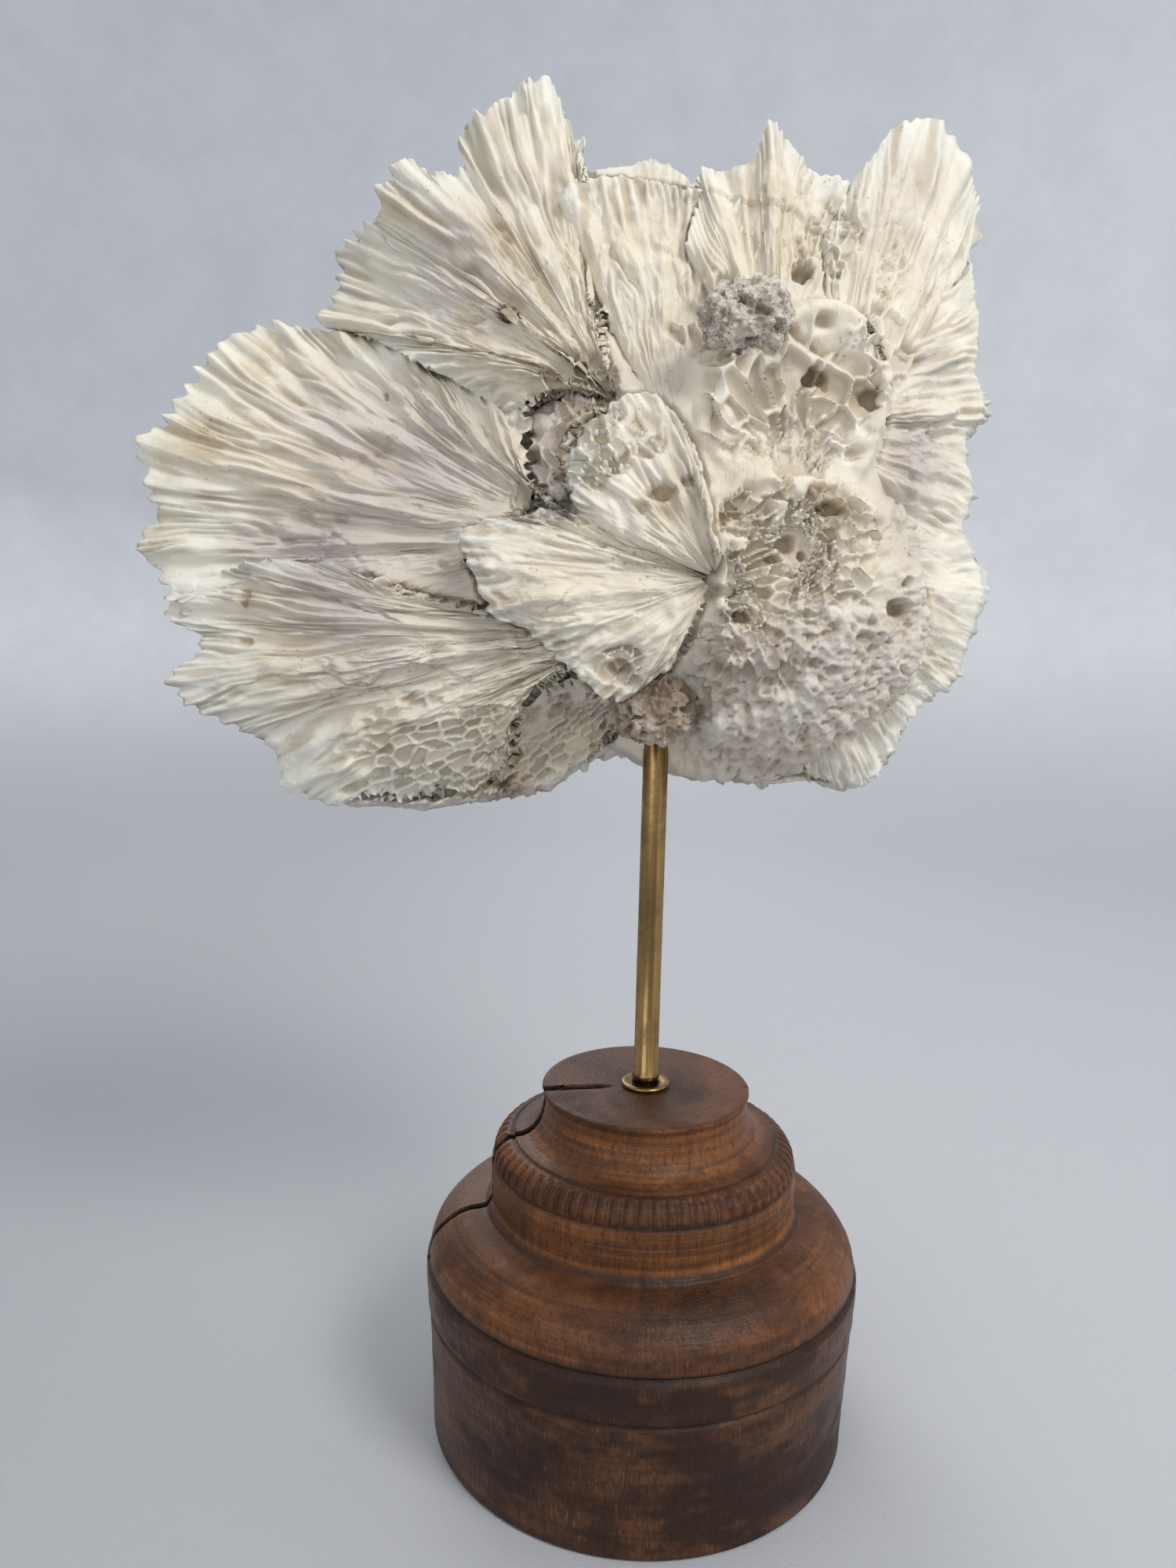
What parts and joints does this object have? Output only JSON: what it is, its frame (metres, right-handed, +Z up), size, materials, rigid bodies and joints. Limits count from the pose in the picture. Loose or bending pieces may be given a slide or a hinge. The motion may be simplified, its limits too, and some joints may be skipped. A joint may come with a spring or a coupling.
{
  "type": "mounted foliose coral",
  "caption": "Bleached foliose coral colony with ribbed, honeycombed fronds, held up on a brass rod over a turned wooden plinth.",
  "frame": {"origin": "centre of the plinth's underside, where the rod's axis meets the surface it stands on", "axes": "+Z is up along the rod, -Y is the front face of the colony, +X is to the right seen from the front"},
  "size_m": [0.2681, 0.1426, 0.4263],
  "materials": {
    "coral": "dry, chalky, cream white",
    "crust": "crusty, taupe brown",
    "lump": "granular, grey white with dark specks",
    "wood": "waxed, reddish brown with dark stains",
    "brass": "satin, slightly tarnished"
  },
  "bodies": {
    "root": {"plinth": "wood", "brass_rod": "brass", "brass_washer": "brass", "holdfast": "crust", "encrusting_lump": "lump", "heart": "coral", "hand": "coral", "pillow": "coral", "lower_left_frond": "coral", "left_frond": "coral", "upper_left_frond": "coral", "crown_frond": "coral", "ribbed_wall": "coral", "tooth_frond": "coral", "crest_frond": "coral", "right_frond": "coral", "lower_right_frond": "coral", "bottom_lip": "coral", "back_top_frond": "coral", "back_low_frond": "coral", "rear_left_frond": "coral", "rear_low_frond": "coral", "rear_crown_frond": "coral", "rear_right_frond": "coral", "rear_inner_frond": "coral"}
  },
  "joints": []
}
